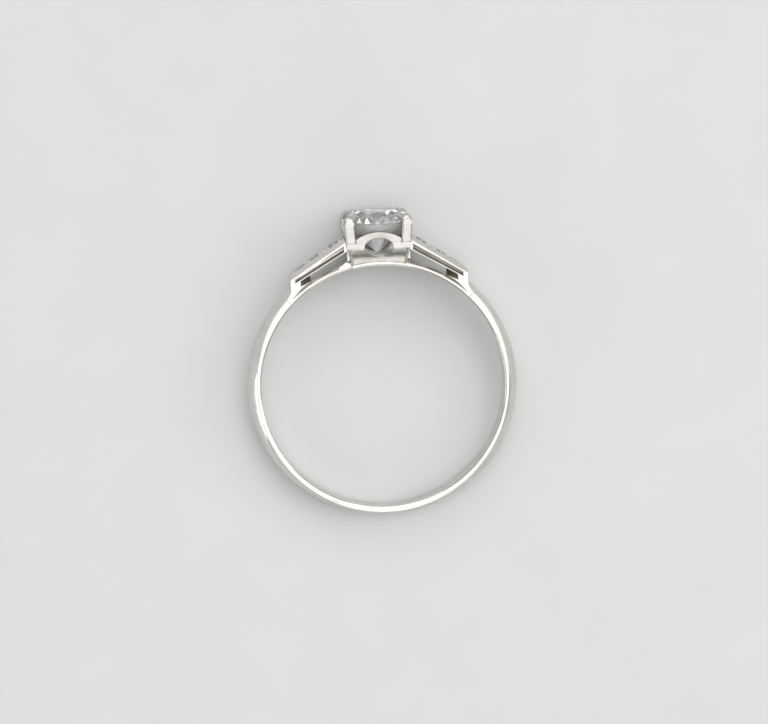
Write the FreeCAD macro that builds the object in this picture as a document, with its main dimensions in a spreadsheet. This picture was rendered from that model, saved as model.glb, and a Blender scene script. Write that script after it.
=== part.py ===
import FreeCAD, Part
import math
import os
import Sketcher

# Engagement ring: a half-round band, two pierced shoulders and a square four-prong head with one brilliant.
# Frame: the finger axis is Z and the origin is the centre of the finger hole, halfway across the band.
# The stone is on the -Y side and faces -Y. The right shoulder is on the +X side.
# Lengths are in millimetres, angles in degrees.

Vector = FreeCAD.Vector
Placement = FreeCAD.Placement
Rotation = FreeCAD.Rotation

SIZES = [
    # finger hole and band
    ("bore_radius", 8.65, "finger hole, US size 7"),
    ("band_width_bottom", 1.9, "band, opposite the stone"),
    ("band_width_shoulder", 2.62, "band, where the shoulders begin"),
    ("band_thick_bottom", 0.70, "thinned by wear at the bottom"),
    ("band_thick_side", 0.93, "at the crest, level with the finger axis"),
    ("band_wall_bottom", 0.42, "flat side of the band at the bottom"),
    ("band_wall_side", 0.30, "flat side of the band at the sides"),
    ("band_wall_shoulder", 0.56, "flat side of the band at the shoulders"),
    ("band_edge_round", 0.13, "worn inner edges of the band"),
    # head
    ("head_seam_half", 1.872, "half the width of the head at the finger hole"),
    ("head_seam_up", 8.445, "height of that seam above the finger axis"),
    ("head_flare", 0.2311, "how fast the box widens with height"),
    ("box_top_up", 10.28, "seam between the box and the basket"),
    ("block_low_up", 8.2, "underside of the head's blank, inside the finger hole"),
    ("plate_thick", 0.28, "finger plate under the head"),
    ("plate_hole_radius", 1.15, "air hole under the culet"),
    ("plate_half", 1.99, "half the width of the plate's upright front and back"),
    ("box_wall", 0.42, "wall of the box"),
    ("eye_half", 0.95, "half the width of the opening under the rail"),
    ("collar_low_up", 9.88, "lower edge of the collar round the top of the box"),
    ("box_set_back", 0.10, "how far the front and back of the box lie behind that collar"),
    ("box_hollow", 0.10, "how much further they are scooped out at mid-height"),
    ("box_corner", 0.15, "narrow upright left at each corner of the box"),
    ("scoop_low_up", 8.6, "lower end of that scoop"),
    ("eye_bottom_up", 9.36, "lowest point of the opening under the rail"),
    ("eye_swell", 1.09, "how much wider the opening is level with the collar's lower edge"),
    ("eye_curve", 1.6, "radius of its lower edge"),
    ("rail_thick", 0.38, "gallery rail, front to back"),
    ("rail_foot_up", 10.62, "top of the rail where it meets a prong"),
    ("rail_top_up", 11.08, "top of the rail at its middle"),
    ("rail_arch_up", 10.71, "underside of the rail at its middle"),
    ("basket_lean", 5.3, "outward lean of rails and prongs"),
    ("prong_width", 0.72, "prong, square"),
    ("prong_corner", 0.11, "worn corners of a prong"),
    ("prong_tip_up", 12.26, "highest point of the claws"),
    # stones
    ("stone_radius", 2.5, "centre diamond"),
    ("girdle_up", 11.58, "underside of the girdle above the finger axis"),
    ("girdle_thick", 0.11, "centre diamond"),
    ("table_share", 0.56, "its table, of the stone's width"),
    ("crown_angle", 34.5, "its crown mains"),
    ("pavilion_angle", 41.0, "its pavilion mains"),
    ("star_share", 0.5, "how far its stars reach from the table to the girdle"),
    ("lower_half_share", 0.42, "where its lower halves meet, of its radius"),
    ("culet_share", 0.97, "depth to the culet, of the full point's"),
    ("small_stone_radius", 0.65, "shoulder diamond nearest the head"),
    ("small_stone_step", 0.06, "how much smaller the next one is"),
    ("small_stone_first", 0.86, "from the head to the first one, along the slope"),
    ("small_stone_pitch", 1.66, "between the two, along the slope"),
    ("small_girdle_thick", 0.04, "shoulder diamonds"),
    ("small_table_share", 0.58, "their tables"),
    ("small_crown_angle", 33.0, "their crowns"),
    ("small_pavilion_angle", 37.0, "their pavilions"),
    ("seat_share", 0.90, "drilled seat under a shoulder diamond, of its width"),
    ("seat_depth", 0.62, "depth of that seat below the girdle"),
    ("seat_gap", 0.01, "room round the girdle"),
    ("drill_tip", 0.12, "radius at the bottom of the seat"),
    ("bead_radius", 0.15, "raised grain"),
    ("bead_gap", 0.05, "from a stone's edge to the middle of a grain"),
    ("bead_rise", 0.04, "middle of a grain above the floor of the row"),
    # shoulders
    ("shoulder_width_head", 2.92, "across the shoulder at the head"),
    ("top_start_x", 2.37, "upper end of the shoulder's top"),
    ("top_start_up", 10.60, "height of that end"),
    ("top_slope", 32.6, "fall of the shoulder's top"),
    ("top_bevel_drop", 0.27, "fall of the bevel along each long edge of the top"),
    ("top_bevel_width", 0.40, "width of that bevel"),
    ("step_x", 6.30, "where the top breaks off"),
    ("step_round", 0.40, "rounding of that corner"),
    ("step_foot_up", 7.02, "where the step runs into the band"),
    ("step_hollow", 1.3, "hollow curve from the step into the band"),
    ("blank_low_up", 8.0, "lowest corner of the shoulder's blank at the head"),
    ("blank_start_x", 2.0, "where the shoulder's narrowing is measured from"),
    ("band_join_angle", 46.0, "end of the step, from the head"),
    ("divider_up", 9.79, "bright bar between panel and window, at the head"),
    ("divider_fall", 0.585, "its fall with distance"),
    ("divider_thick", 0.09, "the bar itself"),
    ("window_start_x", 2.22, "end of the window at the head"),
    ("window_end_x", 5.58, "pointed end of the window"),
    ("window_through_x", 4.85, "the window is pierced right through up to here"),
    ("window_low_start", 8.95, "lower edge of the window at the head"),
    ("window_low_end", 7.36, "lower edge of the window at its point"),
    ("window_blind_depth", 1.05, "depth of the blind end where it meets the pierced part"),
    ("window_point_depth", 0.16, "depth of the blind end at its point"),
    ("facet_rim", 0.24, "flat rim between the finger hole and the facet under the window"),
    ("facet_depth", 0.22, "depth of that facet along the window"),
    ("facet_end_x", 6.12, "where the facet runs out"),
    ("facet_fade", 2.4, "how soon it narrows towards that end"),
    ("facet_fade_end", 0.12, "share of its width left at that end"),
    ("panel_rim", 0.10, "rim left above the sunk panel"),
    ("panel_start_x", 2.44, "end of the panel at the head"),
    ("panel_end_x", 5.95, "outer end of the panel"),
    ("panel_depth", 0.30, "deepest part of the panel"),
    ("panel_curve", 0.62, "radius of the panel's hollow floor"),
    ("channel_rim", 0.46, "from the side to the sunk row of stones"),
    ("channel_depth", 0.12, "how far the row is sunk"),
    ("channel_length", 3.35, "straight part of the sunk row"),
    ("channel_point", 4.25, "its pointed end"),
    ("channel_start", 0.1, "its end at the head"),
    ("channel_taper", 0.78, "its width where the point begins, of its width at the head"),
    ("channel_blunt", 0.12, "half the width of the blunt point"),
]


def make_sheet(doc):
    sheet = doc.addObject("Spreadsheet::Sheet", "sizes")
    for row, (alias, value, note) in enumerate(SIZES, start=1):
        sheet.set(f"A{row}", alias)
        sheet.set(f"B{row}", str(value))
        sheet.set(f"C{row}", note)
        sheet.setAlias(f"B{row}", alias)
    doc.recompute()
    return sheet


THROUGH = "40"  # longer than the ring, for a cut right through it
BESIDE = "3"  # clear of the ring's sides
CLEAR = 0.5  # how far a cutter stands off a surface that it must not graze
SLIVER = 0.01  # overlap of a cutter with a face it starts from

doc = FreeCAD.newDocument("engagement_ring")
sheet = make_sheet(doc)
parts = []


def size(alias):
    return float(getattr(sheet, alias))


def keep(obj, label):
    """Lists an object as one of the ring's pieces under the name of its file."""
    obj.Label = label
    parts.append(obj)
    return obj


# ---- sketches ------------------------------------------------------------------------------------

# for a sketch on the XY plane: its y is the height towards the stone
HEAD_UP = Placement(Vector(0, 0, 0), Rotation(Vector(1, 0, 0), 180))


def new_sketch(body, name, role, offset):
    sketch = body.newObject("Sketcher::SketchObject", name)
    planes = [plane for plane in body.Origin.OriginFeatures if plane.Role == role]
    sketch.AttachmentSupport = [(planes[0], "")]
    sketch.MapMode = "FlatFace"
    sketch.AttachmentOffset = offset
    return sketch


def number(sketch, expression):
    """What an expression comes to, as a plain number."""
    value = sketch.evalExpression(expression)
    return float(getattr(value, "Value", value))


def bind(sketch, kind, geometry, expression):
    """Adds a dimension and binds it to an expression over the sheet."""
    row = sketch.addConstraint(Sketcher.Constraint(kind, *geometry, number(sketch, expression)))
    sketch.setExpression(f"Constraints[{row}]", expression)


def arc_between(start, end, radius):
    """Arc of the given radius; a positive radius bulges to the right of the way from start to end."""
    chord = end - start
    half = chord.Length / 2
    rise = math.sqrt(radius * radius - half * half)
    left = Vector(-chord.y, chord.x, 0).normalize()
    side = 1 if radius > 0 else -1
    centre = start + chord * 0.5 + left * (rise * side)
    middle = centre + (start + chord * 0.5 - centre).normalize() * abs(radius)
    return Part.Arc(start, middle, end)


def outline(sketch, corners):
    """A closed outline. A corner is (x, y) or (x, y, radius): a radius makes the edge that leaves it an arc.
    Every corner is pinned to its two expressions and every arc to its radius."""
    points = [Vector(number(sketch, c[0]), number(sketch, c[1]), 0) for c in corners]
    count = len(corners)
    edges = []
    for index, corner in enumerate(corners):
        start, end = points[index], points[(index + 1) % count]
        if len(corner) == 3:
            shape = arc_between(start, end, number(sketch, corner[2]))
        else:
            shape = Part.LineSegment(start, end)
        edges.append(sketch.addGeometry(shape, False))
    ends = []
    for edge, start in zip(edges, points):
        first = sketch.getPoint(edge, 1)
        ends.append((1, 2) if (first - start).Length < 1e-6 else (2, 1))
    for index, corner in enumerate(corners):
        after = (index + 1) % count
        joint = (edges[index], ends[index][1], edges[after], ends[after][0])
        sketch.addConstraint(Sketcher.Constraint("Coincident", *joint))
        bind(sketch, "DistanceX", (-1, 1, edges[index], ends[index][0]), corner[0])
        bind(sketch, "DistanceY", (-1, 1, edges[index], ends[index][0]), corner[1])
        if len(corner) == 3:
            bind(sketch, "Radius", (edges[index],), f"abs({corner[2]})")
    return sketch


def circle(sketch, x, y, radius):
    place = Vector(number(sketch, x), number(sketch, y), 0)
    index = sketch.addGeometry(Part.Circle(place, Vector(0, 0, 1), number(sketch, radius)), False)
    bind(sketch, "DistanceX", (-1, 1, index, 3), x)
    bind(sketch, "DistanceY", (-1, 1, index, 3), y)
    bind(sketch, "Radius", (index,), radius)
    return sketch


def pad(body, sketch, length):
    feature = body.newObject("PartDesign::Pad", sketch.Name + "_pad")
    feature.Profile = sketch
    feature.SideType = "Symmetric"
    feature.setExpression("Length", length)
    doc.recompute()
    return feature


def pocket(body, sketch, symmetric=True, depth=THROUGH):
    feature = body.newObject("PartDesign::Pocket", sketch.Name + "_pocket")
    feature.Profile = sketch
    if symmetric:
        feature.SideType = "Symmetric"
    feature.setExpression("Length", depth)
    before = feature.BaseFeature.Shape.Volume
    doc.recompute()
    assert feature.Shape.Volume < before, feature.Name
    return feature


def mirror(body, features, role):
    """Repeats the features on the other side of one of the body's own planes."""
    feature = body.newObject("PartDesign::Mirrored", features[0].Name + "_mirrored")
    feature.Originals = features
    planes = [plane for plane in body.Origin.OriginFeatures if plane.Role == role]
    feature.MirrorPlane = (planes[0], [""])
    body.Tip = feature
    doc.recompute()
    return feature


def bore_pocket(body, radius):
    """Cuts the finger hole, or a cylinder round the same axis, out of a body."""
    sketch = new_sketch(body, body.Name + "_bore", "XY_Plane", Placement())
    circle(sketch, "0", "0", radius)
    return pocket(body, sketch)


def wear_bore_edges(body):
    """Rounds the edges between the finger hole and the sides of a body, as years of wear do."""
    base = body.Tip
    radius = size("bore_radius")
    names = []
    for index, edge in enumerate(base.Shape.Edges, start=1):
        middle = edge.valueAt((edge.FirstParameter + edge.LastParameter) / 2)
        points = [vertex.Point for vertex in edge.Vertexes] + [middle]
        on_bore = all(abs(math.hypot(point.x, point.y) - radius) < 1e-3 for point in points)
        if on_bore and abs(middle.z) > CLEAR:
            names.append(f"Edge{index}")
    feature = body.newObject("PartDesign::Fillet", body.Name + "_worn_edges")
    feature.Base = (base, names)
    feature.setExpression("Radius", "sizes.band_edge_round")
    doc.recompute()
    return feature


# ---- shoulder outline, shared by the shoulders and the ends of the band --------------------------

def head_side(up):
    """Half-width of the head's box at a height."""
    return f"(sizes.head_seam_half + ({up} - sizes.head_seam_up) * sizes.head_flare)"


def top_up(x):
    """Height of the shoulder's top at a distance from the middle plane."""
    return f"(sizes.top_start_up - ({x} - sizes.top_start_x) * tan(sizes.top_slope * 1 deg))"


def divider_up(x):
    return f"(sizes.divider_up - ({x} - sizes.window_start_x) * sizes.divider_fall)"


def side_face(x):
    """Distance of the shoulder's side face from the middle of the band."""
    share = f"(({x} - sizes.blank_start_x) / (sizes.step_x - sizes.blank_start_x))"
    narrowing = "(sizes.band_width_shoulder - sizes.shoulder_width_head)"
    return f"(sizes.shoulder_width_head + {narrowing} * {share}) / 2"


def shoulder_outline(body):
    """Side view of a shoulder: head seam, sloping top, the step down to the band, and the joint there."""
    tangent = "(sizes.step_round * tan((90 deg - sizes.top_slope * 1 deg) / 2))"
    below_bore = "(sizes.bore_radius - 0.4)"  # the finger hole is cut from the block afterwards
    band_top = "(sizes.bore_radius + sizes.band_wall_shoulder)"
    join = "sizes.band_join_angle * 1 deg"
    low = "sizes.blank_low_up"
    corners = [
        (head_side(low), low),
        (f"{below_bore} * sin({join})", f"{below_bore} * cos({join})"),
        (f"{band_top} * sin({join})", f"{band_top} * cos({join})", "-sizes.step_hollow"),
        ("sizes.step_x", "sizes.step_foot_up"),
        ("sizes.step_x", f"{top_up('sizes.step_x')} - {tangent}", "sizes.step_round"),
        (
            f"sizes.step_x - {tangent} * cos(sizes.top_slope * 1 deg)",
            f"{top_up('sizes.step_x')} + {tangent} * sin(sizes.top_slope * 1 deg)",
        ),
        ("sizes.top_start_x", "sizes.top_start_up"),
    ]
    sketch = new_sketch(body, body.Name + "_side", "XY_Plane", HEAD_UP)
    return outline(sketch, corners)


# ---- band ----------------------------------------------------------------------------------------

BAND_ANGLES = [38, 46, 56, 70, 90, 110, 135, 160, 180]  # from the head round to the bottom


def between(first, second, share):
    """The size that lies a share of the way from one to another."""
    return f"(sizes.{first} + (sizes.{second} - sizes.{first}) * {share})"


def band_section(body, angle):
    """Half-round section of the band, in the plane through the finger axis at an angle from the head."""
    turn = Placement(Vector(0, 0, 0), Rotation(Vector(0, 1, 0), angle - 90))
    sketch = new_sketch(body, f"band_section_{angle:03d}", "XZ_Plane", turn)
    from_head = min(angle, 360 - angle)
    shoulder_share = f"((1 + cos({from_head} deg)) / (1 + cos(sizes.band_join_angle * 1 deg)))"
    width = between("band_width_bottom", "band_width_shoulder", shoulder_share)
    bottom_share = f"((1 - cos({max(from_head, 90) - 90} * 2 deg)) / 2)"
    thick = between("band_thick_side", "band_thick_bottom", bottom_share)
    if from_head < 90:
        above_side = f"(90 - max({from_head}; sizes.band_join_angle))"
        share = f"((1 - cos({above_side} / (90 - sizes.band_join_angle) * 180 deg)) / 2)"
        wall = between("band_wall_side", "band_wall_shoulder", share)
    else:
        wall = between("band_wall_side", "band_wall_bottom", bottom_share)
    rise = f"({thick} - {wall})"
    radius = f"(({width} / 2) ^ 2 + {rise} ^ 2) / (2 * {rise})"
    inside = "sizes.bore_radius - 0.3"
    outside = f"sizes.bore_radius + {wall}"
    corners = [
        (inside, f"-{width} / 2"),
        (outside, f"-{width} / 2", radius),
        (outside, f"{width} / 2"),
        (inside, f"{width} / 2"),
    ]
    return outline(sketch, corners)


def make_band():
    body = doc.addObject("PartDesign::Body", "band")
    angles = BAND_ANGLES + [360 - angle for angle in reversed(BAND_ANGLES[:-1])]
    sections = [band_section(body, angle) for angle in angles]
    doc.recompute()
    loft = body.newObject("PartDesign::AdditiveLoft", "band_loft")
    loft.Profile = sections[0]
    loft.Sections = sections[1:]
    doc.recompute()
    bore_pocket(body, "sizes.bore_radius")
    ends = pocket(body, shoulder_outline(body))
    mirror(body, [ends], "YZ_Plane")
    wear_bore_edges(body)
    return keep(body, "shank")


# ---- shoulders -----------------------------------------------------------------------------------

def top_plane():
    """A sketch plane on the shoulder's top: x runs down the slope from the head, y is the ring's Z."""
    place = Vector(size("top_start_x"), 0, size("top_start_up"))
    return Placement(place, Rotation(Vector(0, 1, 0), size("top_slope")))


def side_taper(body):
    """Narrows the block from the head towards the band."""
    sketch = new_sketch(body, "shoulder_taper", "XZ_Plane", Placement())
    start = "sizes.blank_start_x"
    end = f"sizes.step_x + {CLEAR}"
    outline(sketch, [
        (start, side_face(start)),
        ("sizes.step_x", side_face("sizes.step_x")),
        (end, side_face("sizes.step_x")),
        (end, BESIDE),
        (start, BESIDE),
    ])
    cut = pocket(body, sketch)
    mirror(body, [cut], "XY_Plane")


def window_low(x):
    """Height of the window's lower edge at a distance from the middle plane."""
    run = "(sizes.window_end_x - sizes.window_start_x)"
    fall = "(sizes.window_low_start - sizes.window_low_end)"
    return f"(sizes.window_low_start - ({x} - sizes.window_start_x) / {run} * {fall})"


def window_outline(body, name, start, end):
    sketch = new_sketch(body, name, "XY_Plane", HEAD_UP)
    return outline(sketch, [
        (start, window_low(start)),
        (end, window_low(end)),
        (end, f"{divider_up(end)} - sizes.divider_thick"),
        (start, f"{divider_up(start)} - sizes.divider_thick"),
    ])


def window(body):
    """A wedge-shaped window, pierced through near the head and blind towards its point."""
    pocket(body, window_outline(body, "window", "sizes.window_start_x", "sizes.window_end_x"))
    web = window_outline(body, "window_web", "sizes.window_through_x", "sizes.window_end_x")
    pad(body, web, "sizes.band_width_shoulder - 2 * sizes.window_point_depth")
    edge_cut(body, "blind_end", ["sizes.window_through_x", "sizes.window_end_x"], blind_end)


def edge_cut(body, name, stations, section):
    """Cuts a long groove or bevel along both sides of the shoulder. section(x) gives its corners at a
    distance from the middle plane: (height, distance from the middle of the band), and a radius for a
    hollow edge."""
    sketches = []
    for station, x in enumerate(stations):
        place = Placement(Vector(0, 0, number(body, x)), Rotation())
        sketch = new_sketch(body, f"{name}_{station}", "YZ_Plane", place)
        sketches.append(outline(sketch, [(f"-({corner[0]})", *corner[1:]) for corner in section(x)]))
    cut = body.newObject("PartDesign::SubtractiveLoft", name)
    cut.Profile = sketches[0]
    cut.Sections = sketches[1:]
    before = cut.BaseFeature.Shape.Volume
    doc.recompute()
    assert cut.Shape.Volume < before, name
    mirror(body, [cut], "XY_Plane")


def top_bevel(x):
    face = side_face(x)
    return [
        (f"{top_up(x)} - sizes.top_bevel_drop", f"{face}"),
        (f"{top_up(x)} + {CLEAR}", f"{face}"),
        (f"{top_up(x)}", f"{face} - sizes.top_bevel_width"),
    ]


def panel(x):
    """The sunk panel: its hollow floor slopes in from the rim and is deepest just above the bar."""
    face = side_face(x)
    return [
        (f"{top_up(x)} - sizes.top_bevel_drop - sizes.panel_rim", f"{face} + {SLIVER}"),
        (f"{divider_up(x)}", f"{face} + {CLEAR}"),
        (f"{divider_up(x)}", f"{face} - sizes.panel_depth", "sizes.panel_curve"),
    ]


def bore_height(x):
    """Height of the finger hole's wall at a distance from the middle plane."""
    return f"sqrt(sizes.bore_radius ^ 2 - ({x}) ^ 2)"


def lower_facet(x):
    """The long facet between the window and the finger hole, which falls away towards the window."""
    face = side_face(x)
    low = f"{bore_height(x)} + sizes.facet_rim / cos(asin({x} / sizes.bore_radius))"
    left = f"(sizes.facet_end_x - {x}) / (sizes.facet_end_x - sizes.window_start_x)"
    fade = f"min(1; sizes.facet_fade_end + sizes.facet_fade * {left})"
    reach = f"(({window_low(x)} + {4 * SLIVER} - ({low})) * {fade})"
    return [
        (low, f"{face} + {SLIVER}"),
        (f"{low} + {reach}", f"{face} + {SLIVER}"),
        (f"{low} + {reach}", f"{face} - sizes.facet_depth * {fade}"),
    ]


def blind_end(x):
    """The sloping floor of the window's blind end, from its point down to the pierced part."""
    face = side_face(x)
    share = f"(sizes.window_end_x - {x}) / (sizes.window_end_x - sizes.window_through_x)"
    depth = f"(sizes.window_point_depth + (sizes.window_blind_depth - sizes.window_point_depth) * {share})"
    high = f"{divider_up(x)} - sizes.divider_thick"
    return [
        (window_low(x), f"{face} + {CLEAR}"),
        (window_low(x), f"{face} - {depth}"),
        (high, f"{face} - {depth}"),
        (high, f"{face} + {CLEAR}"),
    ]


def channel(body):
    """The sunk, pointed row in the top that the stones sit in."""
    half = "(sizes.shoulder_width_head / 2 - sizes.channel_rim)"
    sketch = new_sketch(body, "channel", "XZ_Plane", top_plane())
    tapered = f"{half} * sizes.channel_taper"
    outline(sketch, [
        ("sizes.channel_start", f"-{half}"),
        ("sizes.channel_length", f"-{tapered}"),
        ("sizes.channel_point", "-sizes.channel_blunt"),
        ("sizes.channel_point", "sizes.channel_blunt"),
        ("sizes.channel_length", tapered),
        ("sizes.channel_start", half),
    ])
    pocket(body, sketch, False, "sizes.channel_depth")


def make_shoulder_block():
    body = doc.addObject("PartDesign::Body", "shoulder_block")
    pad(body, shoulder_outline(body), "sizes.shoulder_width_head")
    side_taper(body)
    bore_pocket(body, "sizes.bore_radius")
    wear_bore_edges(body)
    edge_cut(body, "top_bevel", ["2.2", "sizes.step_x + 0.4"], top_bevel)
    window(body)
    edge_cut(body, "lower_facet", ["2.0", "3.2", "4.4", "5.4", "sizes.facet_end_x"], lower_facet)
    edge_cut(body, "panel", ["sizes.panel_start_x", "sizes.panel_end_x"], panel)
    channel(body)
    return body


# ---- diamonds ------------------------------------------------------------------------------------

def below_plane(points, inside):
    """A large block on the far side of the plane through three points, seen from the point inside."""
    normal = (points[1] - points[0]).cross(points[2] - points[0]).normalize()
    if (inside - points[0]).dot(normal) > 0:
        normal = normal * -1
    block = Part.makeBox(20, 20, 20, Vector(-10, -10, 0))
    block.Placement = Placement(points[0], Rotation(Vector(0, 0, 1), normal))
    return block


def polar(radius, degrees, height):
    angle = math.radians(degrees)
    return Vector(radius * math.cos(angle), radius * math.sin(angle), height)


def cut_facets(stone, points, count, first=0):
    """Cuts one tier of facets, as a cutter does with a dividing head: the same plane at equal turns."""
    for index in range(count):
        block = below_plane(points, Vector(0, 0, 0))
        block.rotate(Vector(0, 0, 0), Vector(0, 0, 1), first + index * 360 / count)
        stone = stone.cut(block)
    return stone


def brilliant(radius, cut, halves):
    """Round diamond with its girdle at z = 0 and its table up, in the proportions of one cut on the sheet.
    With halves it is a full brilliant of 58 facets, without them a single cut of 18."""
    girdle = size(cut + "girdle_thick")
    table = radius * size(cut + "table_share")
    steep = math.tan(math.radians(size(cut + "crown_angle")))
    deep = math.tan(math.radians(size(cut + "pavilion_angle")))
    crown = (radius - table) * steep
    depth = radius * deep * size("culet_share")
    stone = Part.makeCylinder(radius, girdle + crown + depth, Vector(0, 0, -depth))
    half_turn = 22.5  # from the middle of a main facet to the ridge beside it

    def ridge_height(distance, slope):
        """Height above or below the girdle of the ridge between two main facets."""
        return (radius - distance * math.cos(math.radians(half_turn))) * slope

    for edge, inner in ((girdle, girdle + steep), (0, -deep)):
        rim = polar(radius, 0, edge)
        stone = cut_facets(stone, [rim, rim + Vector(0, 1, 0), polar(radius - 1, 0, inner)], 8)
    if halves:
        inner = table * math.cos(math.radians(half_turn))
        star_tip = inner + size("star_share") * (radius - inner)
        ridge = polar(star_tip, half_turn, girdle + ridge_height(star_tip, steep))
        star = [ridge, polar(table, 0, girdle + crown), polar(table, 45, girdle + crown)]
        stone = cut_facets(stone, star, 8)
        meet = size("lower_half_share") * radius
        keel = polar(meet, half_turn, -ridge_height(meet, deep))
        for side in (0, 45):
            upper = [polar(radius, side, girdle), polar(radius, half_turn, girdle), ridge]
            lower = [polar(radius, side, 0), polar(radius, half_turn, 0), keel]
            stone = cut_facets(stone, upper, 8)
            stone = cut_facets(stone, lower, 8)
    return stone


FACE_STONE = Rotation(Vector(1, 0, 0), 90)  # turns a stone's table from +Z to the ring's -Y


def make_centre_diamond():
    stone = doc.addObject("Part::Feature", "centre_stone")
    stone.Shape = brilliant(size("stone_radius"), "", True)
    stone.Placement = Placement(Vector(0, -size("girdle_up"), 0), FACE_STONE)
    return keep(stone, "centre_diamond")


def top_point(along, across, above):
    """A point by its distance down the shoulder's top, its Z and its height above the top."""
    slope = math.radians(size("top_slope"))
    x = size("top_start_x") + along * math.cos(slope) + above * math.sin(slope)
    up = size("top_start_up") - along * math.sin(slope) + above * math.cos(slope)
    return Vector(x, -up, across)


def small_stone(index):
    """Radius of a shoulder stone and its distance down the slope, counted from the head."""
    radius = size("small_stone_radius") - index * size("small_stone_step")
    return radius, size("small_stone_first") + index * size("small_stone_pitch")


def make_shoulder_stones():
    stones = []
    facing = Rotation(Vector(0, 0, 1), size("top_slope")).multiply(FACE_STONE)
    for index in range(2):
        radius, along = small_stone(index)
        stone = doc.addObject("Part::Feature", f"shoulder_stone_{index + 1}")
        stone.Shape = brilliant(radius, "small_", False)
        stone.Placement = Placement(top_point(along, 0, -size("channel_depth")), facing)
        stones.append(stone)
    group = doc.addObject("Part::Compound", "shoulder_stones")
    group.Links = stones
    doc.recompute()
    return group


def make_seats():
    """The holes drilled for the shoulder stones: an open ring for the girdle and a cone below it, which
    leaves air under the stone."""
    seats = []
    depth = size("seat_depth")
    facing = Rotation(Vector(0, 0, 1), size("top_slope")).multiply(FACE_STONE)
    for index in range(2):
        radius, along = small_stone(index)
        opening = Part.makeCylinder(radius + size("seat_gap"), 1.0, Vector(0, 0, 0))
        cone = Part.makeCone(size("drill_tip"), radius * size("seat_share"), depth, Vector(0, 0, -depth))
        seat = doc.addObject("Part::Feature", f"seat_{index + 1}")
        seat.Shape = opening.fuse(cone)
        seat.Placement = Placement(top_point(along, 0, -size("channel_depth")), facing)
        seats.append(seat)
    group = doc.addObject("Part::Compound", "seats")
    group.Links = seats
    doc.recompute()
    return group


def make_beads(shoulder, stones):
    """Raised grains, four round each shoulder stone: balls less the metal and the stones they stand on."""
    depth = size("channel_depth")
    balls = []
    for index in range(2):
        radius, along = small_stone(index)
        reach = (radius + size("bead_gap")) * math.sqrt(0.5)
        for down, across in ((-reach, -reach), (-reach, reach), (reach, -reach), (reach, reach)):
            ball = doc.addObject("Part::Sphere", "grain")
            ball.setExpression("Radius", "sizes.bead_radius")
            middle = top_point(along + down, across, size("bead_rise") - depth)
            ball.Placement = Placement(middle, Rotation())
            balls.append(ball)
    group = doc.addObject("Part::Compound", "grain_group")
    group.Links = balls
    off_metal = doc.addObject("Part::Cut", "grains_off_metal")
    off_metal.Base = group
    off_metal.Tool = shoulder
    grains = doc.addObject("Part::Cut", "grains")
    grains.Base = off_metal
    grains.Tool = stones
    doc.recompute()
    return grains


def mirrored_copy(source, label):
    """The same piece on the other side of the stone."""
    copy = doc.addObject("Part::Mirroring", label)
    copy.Source = source
    copy.Normal = Vector(1, 0, 0)
    return keep(copy, label)


def make_shoulders():
    block = make_shoulder_block()
    stones = make_shoulder_stones()
    drilled = doc.addObject("Part::Cut", "drilled_shoulder")
    drilled.Base = block
    drilled.Tool = make_seats()
    shoulder = doc.addObject("Part::Cut", "shoulder_with_seats")
    shoulder.Base = drilled
    shoulder.Tool = stones
    doc.recompute()
    grains = make_beads(shoulder, stones)
    pieces = {"shoulder": shoulder, "shoulder_diamonds": stones, "shoulder_beads": grains}
    for name, piece in pieces.items():
        keep(piece, f"right_{name}")
        mirrored_copy(piece, f"left_{name}")


# ---- head ----------------------------------------------------------------------------------------

def rectangle(body, name, half_x, low_z, high_z, up):
    """A rectangle across the head at a height above the finger axis."""
    place = Placement(Vector(0, 0, number(body, up)), Rotation())
    sketch = new_sketch(body, name, "XZ_Plane", place)
    sides = [(f"-{half_x}", low_z), (half_x, low_z), (half_x, high_z), (f"-{half_x}", high_z)]
    return outline(sketch, sides)


def loft_through(body, name, sections, kind="PartDesign::AdditiveLoft"):
    loft = body.newObject(kind, name)
    loft.Profile = sections[0]
    loft.Sections = sections[1:]
    doc.recompute()
    return loft


def head_block(body, inset="0", half_z=None, kind="PartDesign::AdditiveLoft"):
    """The block that the plate or the box is cut from, or with an inset the hollow in it. It widens upwards;
    with half_z its front and back are upright."""
    top = "sizes.box_top_up" if inset == "0" else f"(sizes.box_top_up + {CLEAR})"
    name = body.Name + ("_block" if inset == "0" else "_hollow")
    sections = []
    for end, up in (("low", "sizes.block_low_up"), ("top", top)):
        half = f"({head_side(up)} - {inset})"
        deep = half_z or half
        sections.append(rectangle(body, f"{name}_{end}", half, f"-{deep}", deep, up))
    return loft_through(body, name, sections, kind)


def scoop_front_and_back(body):
    """Sets the front and back of the box behind its collar and corners, and hollows them a little."""
    low, high = "sizes.scoop_low_up", "sizes.collar_low_up"
    middle = f"(({low} + {high}) / 2)"
    sections = []
    for tag, up, deeper in (("low", low, "0"), ("middle", middle, "sizes.box_hollow"), ("top", high, "0")):
        floor = f"({head_side(up)} - sizes.box_set_back - {deeper})"
        half_x = f"({head_side(up)} - sizes.box_corner)"
        sections.append(rectangle(body, f"scoop_{tag}", half_x, floor, BESIDE, up))
    cut = loft_through(body, "scoop", sections, "PartDesign::SubtractiveLoft")
    mirror(body, [cut], "XY_Plane")


def make_finger_plate():
    body = doc.addObject("PartDesign::Body", "plate")
    head_block(body, half_z="sizes.plate_half")
    bore_pocket(body, "sizes.bore_radius")
    wear_bore_edges(body)
    sketch = new_sketch(body, "above_plate", "XY_Plane", Placement())
    circle(sketch, "0", "0", "sizes.bore_radius + sizes.plate_thick")
    circle(sketch, "0", "0", THROUGH)
    pocket(body, sketch)
    hole = new_sketch(body, "air_hole", "XZ_Plane", Placement())
    circle(hole, "0", "0", "sizes.plate_hole_radius")
    pocket(body, hole)
    return keep(body, "finger_plate")


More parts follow.
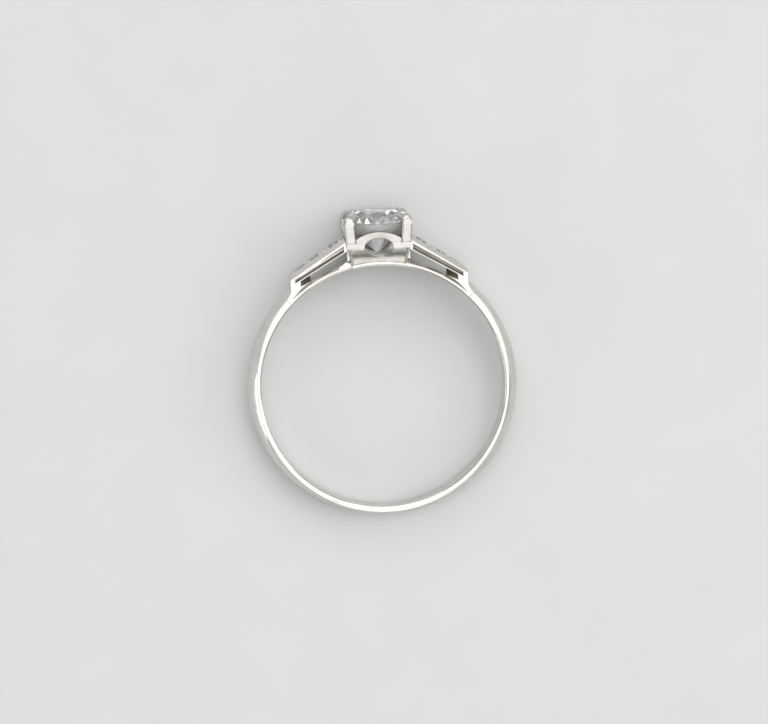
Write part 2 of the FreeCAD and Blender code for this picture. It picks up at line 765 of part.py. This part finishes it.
def make_box():
    body = doc.addObject("PartDesign::Body", "box")
    head_block(body)
    collar = []
    for end, up in (("low", "sizes.collar_low_up"), ("top", "sizes.box_top_up")):
        deep = head_side("sizes.box_top_up")
        collar.append(rectangle(body, f"collar_{end}", head_side(up), f"-{deep}", deep, up))
    loft_through(body, "collar", collar)
    bore_pocket(body, "sizes.bore_radius + sizes.plate_thick")
    head_block(body, "sizes.box_wall", kind="PartDesign::SubtractiveLoft")
    eye = new_sketch(body, "eye_opening", "XY_Plane", HEAD_UP)
    swell = "sizes.eye_half * sizes.eye_swell"
    outline(eye, [
        ("-sizes.eye_half", "sizes.box_top_up"),
        (f"-{swell}", "sizes.collar_low_up", "sizes.eye_curve"),
        ("0", "sizes.eye_bottom_up", "sizes.eye_curve"),
        (swell, "sizes.collar_low_up"),
        ("sizes.eye_half", "sizes.box_top_up"),
        ("sizes.eye_half", f"sizes.box_top_up + {CLEAR}"),
        ("-sizes.eye_half", f"sizes.box_top_up + {CLEAR}"),
    ])
    pocket(body, eye)
    scoop_front_and_back(body)
    return keep(body, "head_box")


def chord_radius(half, rise):
    return f"(({half}) ^ 2 + ({rise}) ^ 2) / (2 * ({rise}))"


SPREAD = 0.03  # how much further apart the prongs are at the top of a rail than at its foot


def make_rail_blank():
    """Arched rail between two prongs, standing on the box and leaning outwards with them."""
    body = doc.addObject("PartDesign::Body", "rail")
    base_up = size("box_top_up")
    half = number(body, head_side("sizes.box_top_up"))
    lean = Rotation(Vector(1, 0, 0), -size("basket_lean"))
    foot = Placement(Vector(0, -base_up, half - size("rail_thick")), lean).multiply(HEAD_UP)
    sketch = new_sketch(body, "rail_arch", "XY_Plane", foot)
    span = f"({head_side('sizes.box_top_up')} - sizes.prong_width)"
    arch_rise = "(sizes.rail_arch_up - sizes.box_top_up)"
    top_rise = "(sizes.rail_top_up - sizes.rail_foot_up)"
    outline(sketch, [
        (f"-{span}", "0"),
        ("-sizes.eye_half", "0", f"-{chord_radius('sizes.eye_half', arch_rise)}"),
        ("sizes.eye_half", "0"),
        (span, "0"),
        (f"{span} + {SPREAD}", "sizes.rail_foot_up - sizes.box_top_up", chord_radius(span, top_rise)),
        (f"-{span} - {SPREAD}", "sizes.rail_foot_up - sizes.box_top_up"),
    ])
    feature = body.newObject("PartDesign::Pad", "rail_pad")
    feature.Profile = sketch
    feature.Reversed = True
    feature.setExpression("Length", "sizes.rail_thick")
    doc.recompute()
    return body


STRAIGHT_HEIGHTS = [0, 0.25, 0.5, 0.75, 1.0]  # sections of a prong above the box, below its bend
MOST_ROUND = 0.42  # largest rounding of a prong's corners, of its width
TILT_TO_ROUND = 60  # degrees of bend over which the rounding of the corners doubles


def round_square(width, corner):
    """Wire of a square with round corners, about the origin."""
    half = width / 2
    flat = half - corner
    edges = []
    for turn in range(4):
        side = Part.LineSegment(Vector(half, -flat, 0), Vector(half, flat, 0)).toShape()
        bend = corner * math.sqrt(0.5)
        tip = Vector(flat + bend, flat + bend, 0)
        curve = Part.Arc(Vector(half, flat, 0), tip, Vector(flat, half, 0)).toShape()
        for edge in (side, curve):
            edge.rotate(Vector(0, 0, 0), Vector(0, 0, 1), 90 * turn)
            edges.append(edge)
    return Part.Wire(edges)


def make_prong_blank():
    """Corner post that leans outwards to the girdle and is bent over the crown as a claw. Its sections are
    (distance from the head's axis along the diagonal, height, width, tilt towards the stone)."""
    width = size("prong_width")
    low = size("box_top_up")
    head_half = size("head_seam_half") + (low - size("head_seam_up")) * size("head_flare")
    foot = (head_half - width / 2) * math.sqrt(2)
    lean = math.tan(math.radians(size("basket_lean"))) * math.sqrt(2)
    tip = size("prong_tip_up")
    girdle = size("girdle_up")
    post = foot + (girdle - low) * lean
    straight = [(foot + rise * lean, low + rise, width, 0) for rise in STRAIGHT_HEIGHTS]
    claw = [
        (post, girdle + 0.02, width, 2),
        (post - 0.06, girdle + 0.28, width * 0.97, 20),
        (post - 0.28, tip - 0.25, width * 0.86, 50),
        (post - 0.62, tip - 0.20, width * 0.66, 76),
        (post - 0.92, tip - 0.26, width * 0.40, 96),
    ]
    wires = []
    corner_out = Rotation(Vector(0, 0, 1), 45)  # turns a corner of the square to face outwards
    for distance, up, across, tilt in straight + claw:
        rounding = size("prong_corner") * (1 + tilt / TILT_TO_ROUND)
        wire = round_square(across, min(rounding, across * MOST_ROUND))
        turn = Rotation(Vector(0, 1, 0), -tilt)
        wire.Placement = Placement(Vector(distance, 0, up), turn.multiply(corner_out))
        wires.append(wire)
    blank = doc.addObject("Part::Feature", "prong_blank")
    blank.Shape = Part.makeLoft(wires, True, False)
    upright = Rotation(Vector(1, 0, 0), 90)
    to_corner = Rotation(Vector(0, 1, 0), 45)
    blank.Placement = Placement(Vector(), to_corner.multiply(upright))
    return blank


def around_head(blank, seat, labels):
    """Four copies of a blank round the head, each with the stone's seat cut in it."""
    for quarter, label in enumerate(labels):
        piece = doc.addObject("Part::Cut", label)
        piece.Base = blank
        piece.Tool = seat
        piece.Placement = Placement(Vector(), Rotation(Vector(0, 1, 0), 90 * quarter))
        keep(piece, label)


def make_head():
    make_finger_plate()
    make_box()
    diamond = make_centre_diamond()
    rail = make_rail_blank()
    around_head(rail, diamond, ["upper_rail", "right_rail", "lower_rail", "left_rail"])
    prong = make_prong_blank()
    names = ["lower_right_prong", "lower_left_prong", "upper_left_prong", "upper_right_prong"]
    around_head(prong, diamond, names)


make_band()
make_shoulders()
make_head()
doc.recompute()

for obj in doc.Objects:
    assert not {"Invalid", "Error"} & set(obj.State), (obj.Name, obj.State)
os.makedirs("parts", exist_ok=True)
for part in parts:
    shape = part.Shape
    assert not shape.isNull() and shape.isValid(), part.Label
    shape.exportStep(f"parts/{part.Label}.step")
    print(part.Label, len(shape.Solids), round(shape.Volume, 3))
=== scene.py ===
import math

import bpy
from mathutils import Matrix, Vector

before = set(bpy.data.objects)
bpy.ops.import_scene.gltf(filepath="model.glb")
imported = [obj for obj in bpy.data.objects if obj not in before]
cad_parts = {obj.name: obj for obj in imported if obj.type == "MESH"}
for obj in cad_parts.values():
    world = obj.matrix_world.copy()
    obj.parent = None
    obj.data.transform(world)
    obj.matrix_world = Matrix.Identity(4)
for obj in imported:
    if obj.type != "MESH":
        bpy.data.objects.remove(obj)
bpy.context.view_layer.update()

# Engagement ring lying on its side: white metal, one round brilliant and four small diamonds.
# The finger axis is Z, the stone is on the -Y side, and lengths are in metres.

MM = 0.001
COLOUR_A, COLOUR_B, COLOUR_OUT = 6, 7, 2  # sockets of a colour Mix node


def srgb(code):
    """An sRGB hex colour as the linear RGBA that a shader takes."""
    values = [int(code[i:i + 2], 16) / 255 for i in (1, 3, 5)]
    linear = [v / 12.92 if v <= 0.04045 else ((v + 0.055) / 1.055) ** 2.4 for v in values]
    return (*linear, 1.0)


def add(tree, kind, inputs=None, **settings):
    """Adds a node. An input is named or numbered, and gets a value or the output that feeds it."""
    node = tree.nodes.new(kind)
    for name, value in settings.items():
        setattr(node, name, value)
    for socket, value in (inputs or {}).items():
        if isinstance(value, bpy.types.NodeSocket):
            tree.links.new(value, node.inputs[socket])
        else:
            node.inputs[socket].default_value = value
    return node


def new_material(name):
    """An empty material and its node tree."""
    material = bpy.data.materials.new(name)
    material.use_nodes = True
    material.node_tree.nodes.clear()
    return material, material.node_tree


# ---- white metal ----------------------------------------------------------------------------------

# Each pair is the colour where the polish is fresh and where it is old.
METAL = ("#E0DDD8", "#D2CEC6")  # polished platinum alloy: a slightly warm white
HEAD_METAL_PAINTED_DARKER = ("#CDCAC4", "#BDBAB3")  # the same metal painted darker and creamier for the head: painted shade; its duller finish is in the head's roughness
RESIDUE_AND_SHADE_COLOUR = "#857D6E"  # soap and skin residue in corners that no cloth reaches, together with painted shade in those corners

BAND_RADIUS = 9.1 * MM  # middle of the band's wall
CLOUD_SIZE = 1.6 * MM  # patches of older and fresher polish
HAND_SIZE = 4.5 * MM  # unevenness left by polishing by hand
CORNER_REACH = 0.45 * MM  # how far the residue and the painted corner shade spread out of a corner
EDGE_WEAR = 0.06 * MM  # radius that wear gives an edge
RIPPLE_HEIGHT = 0.01 * MM  # orange-peel left by the buff
SCRATCH_DEPTH = 0.003 * MM
SCRATCH_EDGE = 0.08  # how gradually a scratch begins, as a part of the noise's range
SCRATCH_ROUGH = 0.13  # roughness that a scratch adds
GRIME_ROUGH = 0.35  # roughness that residue adds


def round_the_finger(tree, position):
    """Coordinates that run round the ring: along the band, across it, and out from its middle."""
    parts = add(tree, "ShaderNodeSeparateXYZ", {0: position})
    turn = add(tree, "ShaderNodeMath", {0: parts.outputs[0], 1: parts.outputs[1]}, operation="ARCTAN2")
    along = add(tree, "ShaderNodeMath", {0: turn.outputs[0], 1: BAND_RADIUS}, operation="MULTIPLY")
    flat = add(tree, "ShaderNodeCombineXYZ", {0: parts.outputs[0], 1: parts.outputs[1]})
    out = add(tree, "ShaderNodeVectorMath", {0: flat.outputs[0]}, operation="LENGTH")
    return add(tree, "ShaderNodeCombineXYZ",
               {0: along.outputs[0], 1: parts.outputs[2], 2: out.outputs["Value"]}).outputs[0]


def hairlines(tree, place, turn, length, width, level):
    """A mask of fine scratches of a length and width in millimetres, in one direction, where the noise is
    over a level. Real hairlines are a few thousandths of a millimetre wide. These are drawn several times
    coarser, as fine as still shows."""
    lay = add(tree, "ShaderNodeMapping",
              {"Vector": place, "Rotation": turn, "Scale": (1 / length, 1 / width, 1 / width)})
    noise = add(tree, "ShaderNodeTexNoise",
                {"Vector": lay.outputs[0], "Scale": 1 / MM, "Detail": 1.0})
    lines = add(tree, "ShaderNodeMapRange",
                {"Value": noise.outputs[0], "From Min": level, "From Max": level + SCRATCH_EDGE})
    return lines.outputs[0]


def white_metal(name, tones, polish, wear, residue_and_corner_shade, lay, swell_height):
    """Polished white metal after years of wear. tones are its colour fresh and dull, polish is its
    roughness where it is bright, wear the level above which the noise becomes a hairline,
    residue_and_corner_shade how dark its corners are painted, as residue and as painted shade, lay the way
    its hairlines run, and swell_height how far from true hand polishing left its flats, in millimetres."""
    material, tree = new_material(name)
    position = add(tree, "ShaderNodeTexCoord").outputs["Object"]
    place = round_the_finger(tree, position) if lay == "round" else position

    along = hairlines(tree, place, (0, 0, 0.06), 1.8, 0.035, wear)
    across = hairlines(tree, place, (0.5, 0.3, 1.1), 0.9, 0.03, wear + 0.05)
    lines = add(tree, "ShaderNodeMath", {0: along, 1: across}, operation="MAXIMUM").outputs[0]
    cloud = add(tree, "ShaderNodeTexNoise",
                {"Vector": position, "Scale": 1 / CLOUD_SIZE, "Detail": 3.0, "Roughness": 0.6}).outputs[0]
    hand = add(tree, "ShaderNodeTexNoise",
               {"Vector": position, "Scale": 1 / HAND_SIZE, "Detail": 1.0, "Roughness": 0.4}).outputs[0]

    # Corners that ambient occlusion finds are darkened: soap and skin residue, and painted shade in those
    # corners.
    corner = add(tree, "ShaderNodeAmbientOcclusion", {"Distance": CORNER_REACH},
                 samples=8, only_local=True)
    shade = add(tree, "ShaderNodeMapRange",
                {"Value": corner.outputs["AO"], "From Min": 0.15, "From Max": 0.75,
                 "To Min": 1.0, "To Max": 0.0})
    patchy = add(tree, "ShaderNodeMapRange",
                 {"Value": cloud, "From Min": 0.3, "From Max": 0.7, "To Min": 0.5, "To Max": 1.0})
    residue_and_shade = add(tree, "ShaderNodeMath", {0: shade.outputs[0], 1: patchy.outputs[0]},
               operation="MULTIPLY")
    residue_and_shade = add(tree, "ShaderNodeMath", {0: residue_and_shade.outputs[0], 1: residue_and_corner_shade},
               operation="MULTIPLY").outputs[0]

    tone = add(tree, "ShaderNodeMapRange",
               {"Value": cloud, "From Min": 0.35, "From Max": 0.75}).outputs[0]
    metal = add(tree, "ShaderNodeMix", {0: tone, COLOUR_A: srgb(tones[0]), COLOUR_B: srgb(tones[1])},
                data_type="RGBA").outputs[COLOUR_OUT]
    # The residue colour mixed in here is partly residue and partly painted corner shade.
    colour = add(tree, "ShaderNodeMix", {0: residue_and_shade, COLOUR_A: metal, COLOUR_B: srgb(RESIDUE_AND_SHADE_COLOUR)},
                 data_type="RGBA").outputs[COLOUR_OUT]

    rough = add(tree, "ShaderNodeMapRange",
                {"Value": cloud, "From Min": 0.3, "From Max": 0.75,
                 "To Min": polish, "To Max": polish + 0.05})
    rough = add(tree, "ShaderNodeMath", {0: lines, 1: SCRATCH_ROUGH, 2: rough.outputs[0]},
                operation="MULTIPLY_ADD")
    rough = add(tree, "ShaderNodeMath", {0: residue_and_shade, 1: GRIME_ROUGH, 2: rough.outputs[0]},
                operation="MULTIPLY_ADD", use_clamp=True)

    worn_edge = add(tree, "ShaderNodeBevel", {"Radius": EDGE_WEAR}, samples=6)
    swell = add(tree, "ShaderNodeBump",
                {"Height": hand, "Strength": 1.0, "Distance": swell_height * MM,
                 "Normal": worn_edge.outputs[0]})
    ripple = add(tree, "ShaderNodeBump",
                 {"Height": cloud, "Strength": 0.3, "Distance": RIPPLE_HEIGHT,
                  "Normal": swell.outputs[0]})
    scratch = add(tree, "ShaderNodeBump",
                  {"Height": lines, "Strength": 0.5, "Distance": SCRATCH_DEPTH,
                   "Normal": ripple.outputs[0]}, invert=True)
    bare = add(tree, "ShaderNodeMath", {0: 1.0, 1: residue_and_shade}, operation="SUBTRACT").outputs[0]
    shader = add(tree, "ShaderNodeBsdfPrincipled", {
        "Base Color": colour,
        "Metallic": bare,  # residue and painted corner shade are no metal
        "Roughness": rough.outputs[0],
        "Normal": scratch.outputs[0],
    })
    add(tree, "ShaderNodeOutputMaterial", {"Surface": shader.outputs[0]})
    return material


# ---- diamond ----------------------------------------------------------------------------------------

DIAMOND_IOR = 2.417
FILM_SIZE = 0.9 * MM  # patches of the grease film
GIRDLE_ROUGH = 0.35
GIRDLE_UP = 11.58 * MM  # from the finger axis to the underside of the centre stone's girdle
GIRDLE_THICK = 0.11 * MM


def diamond(name, girdle_low=None, girdle_high=None):
    """Cut and polished diamond: flat mirror facets, a bruted girdle that stays matt, and the thin film of
    grease that wear leaves on the facets. Soap dries on the underside, which no cloth reaches, and makes
    it milky from outside. girdle_low and girdle_high are the girdle's two edges along Y, left out for a
    stone whose girdle and underside are hidden."""
    material, tree = new_material(name)
    position = add(tree, "ShaderNodeTexCoord").outputs["Object"]
    film = add(tree, "ShaderNodeTexNoise",
               {"Vector": position, "Scale": 1 / FILM_SIZE, "Detail": 2.0, "Roughness": 0.5}).outputs[0]
    rough = add(tree, "ShaderNodeMapRange",
                {"Value": film, "From Min": 0.4, "From Max": 0.8,
                 "To Min": 0.0, "To Max": 0.04}).outputs[0]
    clear = add(tree, "ShaderNodeMapRange",
                {"Value": film, "From Min": 0.35, "From Max": 0.75,
                 "To Min": 0.95, "To Max": 0.86}).outputs[0]
    tint = add(tree, "ShaderNodeMapRange",
               {"Value": film, "From Min": 0.35, "From Max": 0.75}).outputs[0]
    colour = add(tree, "ShaderNodeMix", {0: tint, COLOUR_A: srgb("#FFFFFF"), COLOUR_B: srgb("#F4F5F2")},
                 data_type="RGBA").outputs[COLOUR_OUT]
    if girdle_low is not None:
        up = add(tree, "ShaderNodeSeparateXYZ", {0: position}).outputs[1]
        over = add(tree, "ShaderNodeMath", {0: up, 1: girdle_low}, operation="GREATER_THAN")
        under = add(tree, "ShaderNodeMath", {0: up, 1: girdle_high}, operation="LESS_THAN")
        band = add(tree, "ShaderNodeMath", {0: over.outputs[0], 1: under.outputs[0]},
                   operation="MULTIPLY")
        rough = add(tree, "ShaderNodeMath", {0: band.outputs[0], 1: GIRDLE_ROUGH, 2: rough},
                    operation="MULTIPLY_ADD").outputs[0]
        below = add(tree, "ShaderNodeMath", {0: up, 1: girdle_high},
                    operation="GREATER_THAN").outputs[0]
        inside = add(tree, "ShaderNodeNewGeometry").outputs["Backfacing"]
        outside = add(tree, "ShaderNodeMath", {0: 1.0, 1: inside}, operation="SUBTRACT").outputs[0]
        soap = add(tree, "ShaderNodeMapRange",
                   {"Value": film, "From Min": 0.3, "From Max": 0.7,
                    "To Min": 0.62, "To Max": 0.42}).outputs[0]
        soap = add(tree, "ShaderNodeMath", {0: soap, 1: below}, operation="MULTIPLY").outputs[0]
        soap = add(tree, "ShaderNodeMath", {0: soap, 1: outside}, operation="MULTIPLY").outputs[0]
        clear = add(tree, "ShaderNodeMath", {0: clear, 1: soap},
                    operation="SUBTRACT", use_clamp=True).outputs[0]
    shader = add(tree, "ShaderNodeBsdfPrincipled", {
        "Base Color": colour,
        "Roughness": rough,
        "IOR": DIAMOND_IOR,
        "Transmission Weight": clear,
    })
    add(tree, "ShaderNodeOutputMaterial", {"Surface": shader.outputs[0]})
    return material


# ---- what each piece is made of --------------------------------------------------------------------

finishes = {
    # buffed round the finger and worn by skin and cloth: soft reflections, fine hairlines along the band
    "band": white_metal("polished_platinum_band", METAL, polish=0.09, wear=0.60, residue_and_corner_shade=0.3,
                        lay="round", swell_height=0.08),
    # cut with a graver and polished: flat bright faces that end in unpolished corners, darkened with
    # residue and painted shade
    "shoulder": white_metal("bright_cut_platinum", METAL, polish=0.10, wear=0.61, residue_and_corner_shade=0.65,
                            lay="round", swell_height=0.09),
    # taken as cast, then polished by hand where a buff can't reach: a duller and broader shine, and a
    # colour painted darker than the band's as painted shade
    "head": white_metal("cast_and_polished_platinum", HEAD_METAL_PAINTED_DARKER, polish=0.17, wear=0.63, residue_and_corner_shade=0.8,
                        lay="straight", swell_height=0.04),
    # pushed up from the metal and burnished round: small bright points
    "bead": white_metal("burnished_platinum_grains", METAL, polish=0.12, wear=0.68, residue_and_corner_shade=0.3,
                        lay="straight", swell_height=0.02),
    # polished facet by facet on a wheel: sharp, broken reflections of the room
    "centre": diamond("brilliant_cut_diamond",
                      girdle_low=-GIRDLE_UP - GIRDLE_THICK, girdle_high=-GIRDLE_UP),
    # the same with few facets, set deep in the metal: greyer, with single glints
    "small": diamond("single_cut_diamond"),
}


def finish_for(node):
    """The finish of a piece, from its name."""
    if node in ("shank", "finger_plate"):
        return "band"
    if node == "centre_diamond":
        return "centre"
    if node.endswith("diamonds"):
        return "small"
    if node.endswith("beads"):
        return "bead"
    if node.endswith("shoulder"):
        return "shoulder"
    return "head"


for node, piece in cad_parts.items():
    for slot in piece.material_slots:
        slot.material = finishes[finish_for(node)]


# ---- table the ring lies on ---------------------------------------------------------------------------

REST_ROUNDS = 4  # enough for the touching points to settle


def resting_slope(points):
    """The slope and height at Y = 0 of the plane under the ring, which touches the head and the far side of
    the band."""
    head = min(points, key=lambda p: p.z)
    slope = 0.0
    for _ in range(REST_ROUNDS):
        slope = min((p.z - head.z) / (p.y - head.y) for p in points if p.y > 0)
        head = min(points, key=lambda p: p.z - slope * p.y)
    return slope, head.z - slope * head.y


points = [vertex.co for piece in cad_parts.values() for vertex in piece.data.vertices]
floor_slope, floor_height = resting_slope(points)

TABLE_GRAIN = 6 * MM  # size of the brush marks in the paint
BRUSH_DEPTH = 0.05 * MM
TABLE_SIDES = 96
BEND_STEPS = 12


def make_table(flat, bend, wall):
    """A smooth white table whose rim curves up into a wall all round, so that no edge of it shows. flat is
    the radius of its level part, bend the radius of the curve and wall the height of the straight part
    above."""
    turns = [math.radians(90 * step / BEND_STEPS) for step in range(BEND_STEPS + 1)]
    profile = [(flat * share, 0.0) for share in (0.25, 0.5, 0.75)]
    profile += [(flat + bend * math.sin(turn), bend * (1 - math.cos(turn))) for turn in turns]
    profile.append((flat + bend, bend + wall))
    points = [(0.0, 0.0, floor_height)]
    for radius, up in profile:
        for step in range(TABLE_SIDES):
            angle = 2 * math.pi * step / TABLE_SIDES
            x, y = radius * math.cos(angle), radius * math.sin(angle)
            points.append((x, y, floor_height + floor_slope * y + up))
    faces = [(0, 1 + step, 1 + (step + 1) % TABLE_SIDES) for step in range(TABLE_SIDES)]
    for ring in range(len(profile) - 1):
        low, high = 1 + ring * TABLE_SIDES, 1 + (ring + 1) * TABLE_SIDES
        for step in range(TABLE_SIDES):
            after = (step + 1) % TABLE_SIDES
            faces.append((low + step, high + step, high + after, low + after))
    mesh = bpy.data.meshes.new("table")
    mesh.from_pydata(points, [], faces)
    mesh.shade_smooth()
    table = bpy.data.objects.new("table", mesh)
    bpy.context.scene.collection.objects.link(table)
    material, tree = new_material("matt_white_paint")
    position = add(tree, "ShaderNodeTexCoord").outputs["Object"]
    brushed = add(tree, "ShaderNodeTexNoise",
                  {"Vector": position, "Scale": 1 / TABLE_GRAIN, "Detail": 5.0}).outputs[0]
    colour = add(tree, "ShaderNodeMix", {0: brushed, COLOUR_A: srgb("#D9D9D9"), COLOUR_B: srgb("#DFDFDE")},
                 data_type="RGBA").outputs[COLOUR_OUT]
    bump = add(tree, "ShaderNodeBump", {"Height": brushed, "Strength": 0.1, "Distance": BRUSH_DEPTH})
    shader = add(tree, "ShaderNodeBsdfPrincipled", {
        "Base Color": colour,
        "Roughness": 0.75,
        "Normal": bump.outputs[0],
    })
    add(tree, "ShaderNodeOutputMaterial", {"Surface": shader.outputs[0]})
    mesh.materials.append(material)


make_table(flat=0.26, bend=0.80, wall=0.10)


# ---- light ----------------------------------------------------------------------------------------------

RING = (0, 0, 0)  # what every softbox faces
BACKDROP = "#DADBDC"  # what is seen directly past the table


def softbox(name, place, target, width, height, radiance, colour):
    """A rectangular softbox. Its strength is given as how bright its face looks."""
    data = bpy.data.lights.new(name, "AREA")
    data.shape = "RECTANGLE"
    data.size, data.size_y = width, height
    data.energy = radiance * math.pi * width * height
    data.color = srgb(colour)[:3]
    lamp = bpy.data.objects.new(name, data)
    lamp.visible_camera = False
    bpy.context.scene.collection.objects.link(lamp)
    lamp.location = place
    lamp.rotation_euler = (Vector(target) - Vector(place)).to_track_quat("-Z", "Y").to_euler()


softbox("overhead_softbox", (-0.10, -0.08, 0.50), RING, 0.60, 0.68, 1.00, "#FFFFFF")
softbox("right_softbox", (-0.50, -0.10, 0.26), RING, 0.34, 0.24, 2.5, "#FFFDF9")
softbox("left_softbox", (0.50, 0.14, 0.22), RING, 0.30, 0.30, 1.5, "#F6F8FF")
softbox("front_softbox", (0.02, -0.52, 0.28), RING, 0.50, 0.30, 1.7, "#FFFFFF")
softbox("near_softbox", (-0.10, 0.50, 0.21), RING, 0.36, 0.22, 1.5, "#FFFFFF")


def studio_room(dark, light, lit_from):
    """The room round the table: one side of it is lit and the other is in shade."""
    world = bpy.data.worlds.new("studio_room")
    world.use_nodes = True
    tree = world.node_tree
    tree.nodes.clear()
    direction = add(tree, "ShaderNodeTexCoord").outputs["Generated"]
    facing = add(tree, "ShaderNodeVectorMath", {0: direction, 1: Vector(lit_from).normalized()},
                 operation="DOT_PRODUCT").outputs["Value"]
    share = add(tree, "ShaderNodeMapRange",
                {"Value": facing, "From Min": -0.2, "From Max": 0.9}).outputs[0]
    wall = add(tree, "ShaderNodeMix", {0: share, COLOUR_A: srgb(dark), COLOUR_B: srgb(light)},
               data_type="RGBA").outputs[COLOUR_OUT]
    seen = add(tree, "ShaderNodeLightPath").outputs["Is Camera Ray"]
    colour = add(tree, "ShaderNodeMix", {0: seen, COLOUR_A: wall, COLOUR_B: srgb(BACKDROP)},
                 data_type="RGBA").outputs[COLOUR_OUT]
    background = add(tree, "ShaderNodeBackground", {"Color": colour})
    add(tree, "ShaderNodeOutputWorld", {"Surface": background.outputs[0]})
    bpy.context.scene.world = world


studio_room("#5C5C5A", "#D8DADC", (-0.45, -0.60, 0.65))


# ---- camera ---------------------------------------------------------------------------------------------

def make_camera(target, direction, up, distance, lens):
    """A camera at a distance from the target along a direction, with up towards the top of its picture."""
    data = bpy.data.cameras.new("camera")
    data.sensor_width = 36
    data.lens = lens
    data.clip_start, data.clip_end = 0.01, 10
    camera = bpy.data.objects.new("camera", data)
    bpy.context.scene.collection.objects.link(camera)
    back = Vector(direction).normalized()
    right = Vector(up).cross(back).normalized()
    turned = Matrix((right, back.cross(right), back)).transposed().to_4x4()
    camera.matrix_world = Matrix.Translation(Vector(target) + back * distance) @ turned
    bpy.context.scene.camera = camera


make_camera(target=(-0.174 * MM, -1.566 * MM, 0), direction=(0.0606, -0.1261, 1),
            up=(-0.0384, -0.9993, 0), distance=0.335, lens=221)

BOUNCES = 24  # a stone is lit by light that has turned in it many times
scene = bpy.context.scene
scene.view_settings.view_transform = "Standard"
scene.cycles.max_bounces = BOUNCES
scene.cycles.glossy_bounces = BOUNCES
scene.cycles.transmission_bounces = BOUNCES
